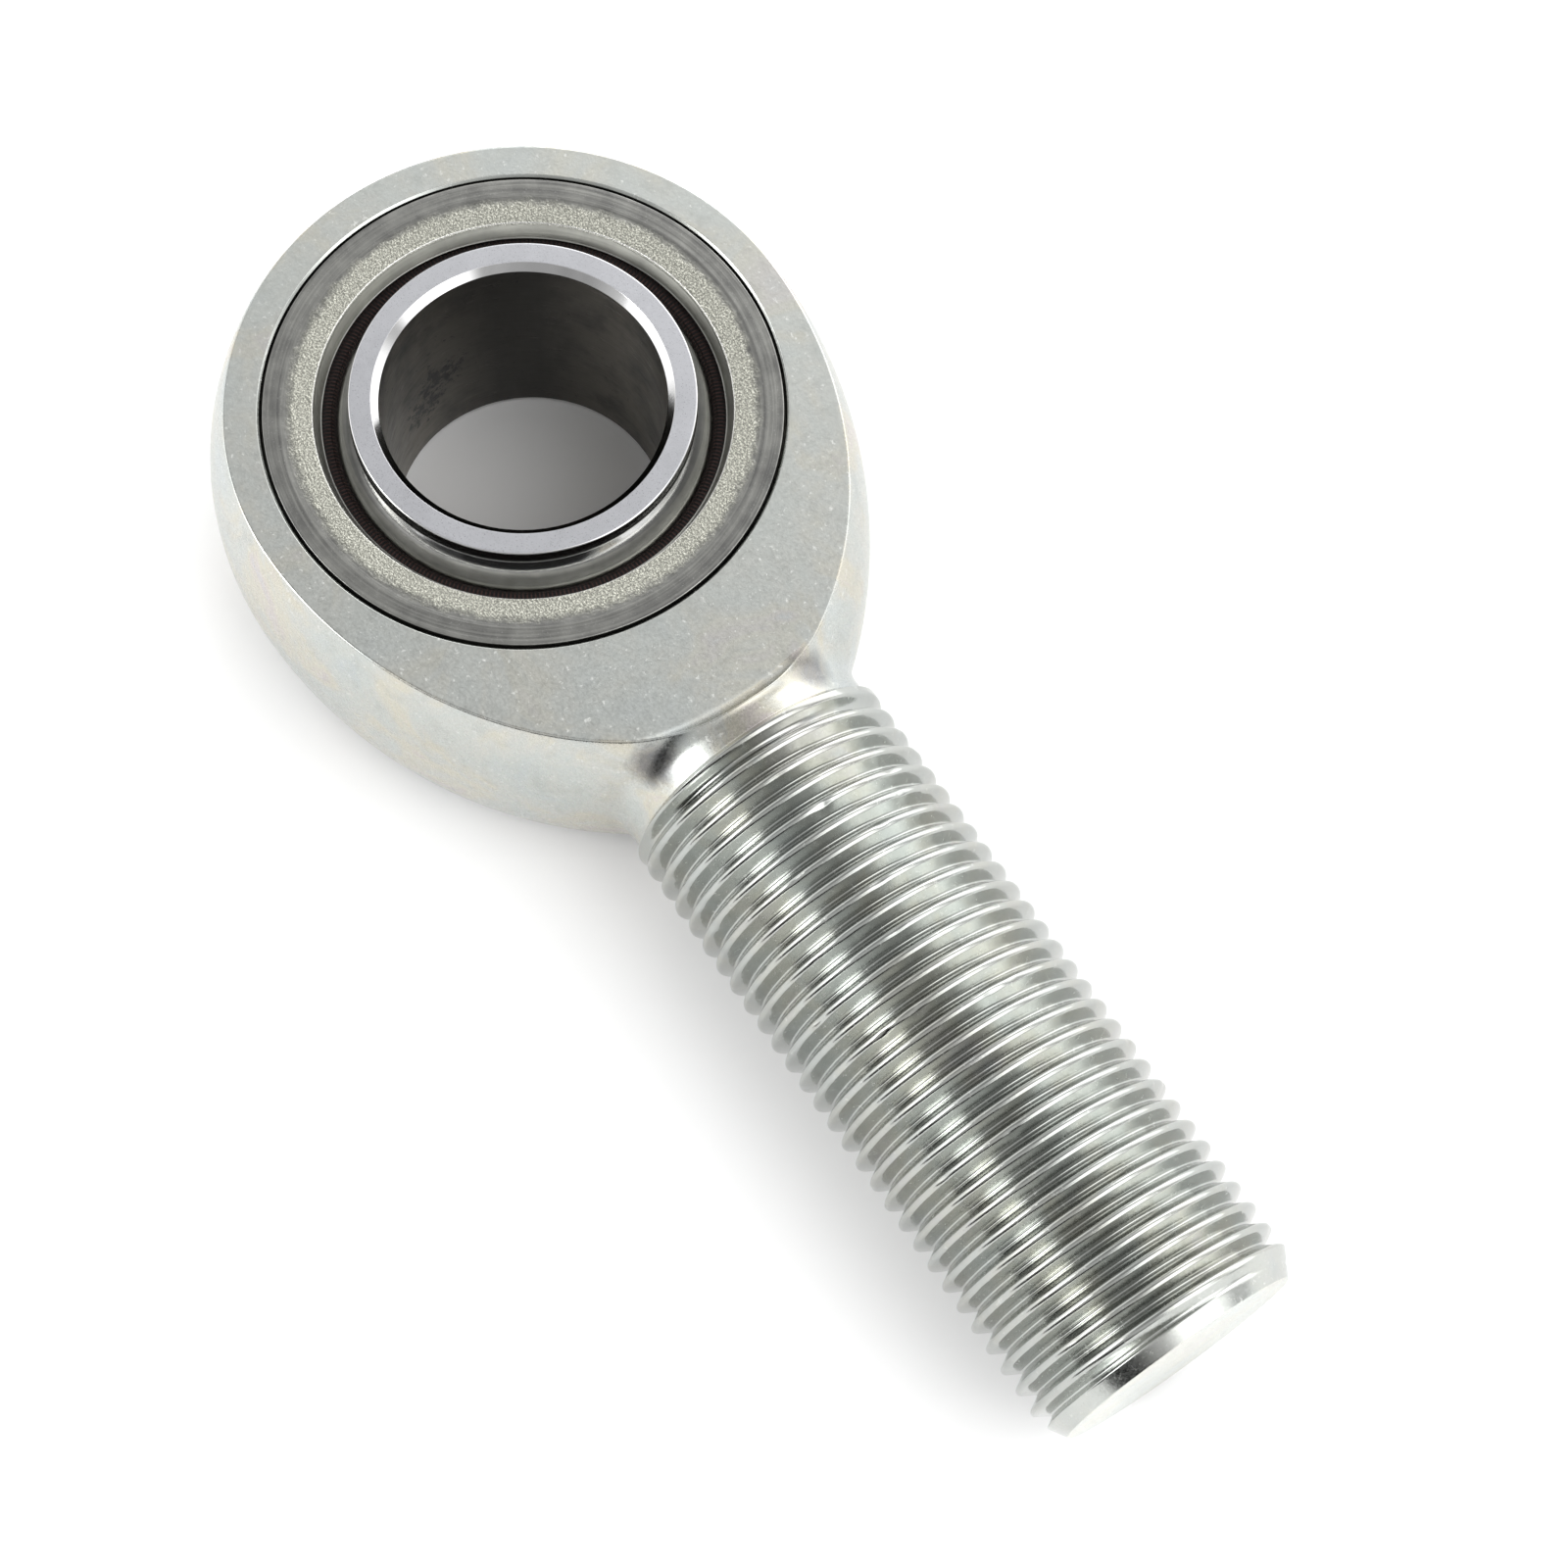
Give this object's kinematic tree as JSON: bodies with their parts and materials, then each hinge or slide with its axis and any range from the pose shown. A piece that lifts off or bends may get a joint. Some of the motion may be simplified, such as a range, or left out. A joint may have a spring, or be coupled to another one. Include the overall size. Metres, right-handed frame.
{
  "type": "rod end bearing",
  "caption": "Male rod end: a self-aligning ball with a through bore, in a lined race held in a flat-faced round head on a left-hand threaded shank.",
  "frame": {"origin": "centre of the ball, halfway along its bore", "axes": "+Z along the ball's bore, +X along the threaded shank towards its tip"},
  "size_m": [0.096, 0.0428, 0.019],
  "materials": {
    "zinc_steel": "clear zinc plating, satin on the flats, brighter on the rolled thread",
    "race_steel": "plain turned steel, grainy around the mouth",
    "liner_fabric": "woven, resin-filled, dark reddish brown",
    "ball_chrome": "hard chrome, ground faces, darker satin bore"
  },
  "bodies": {
    "rod_end": {"body": "zinc_steel", "race": "race_steel"},
    "liner": {"liner": "liner_fabric"},
    "ball": {"ball": "ball_chrome"}
  },
  "joints": [
    {"name": "ball_turn", "type": "hinge", "parent": "rod_end", "child": "liner", "pos_m": [0, 0, 0], "axis": [0, 0, 1], "continuous": true},
    {"name": "ball_tilt", "type": "hinge", "parent": "liner", "child": "ball", "pos_m": [0, 0, 0], "axis": [0, 1, 0], "range_deg": [-8, 8]}
  ]
}
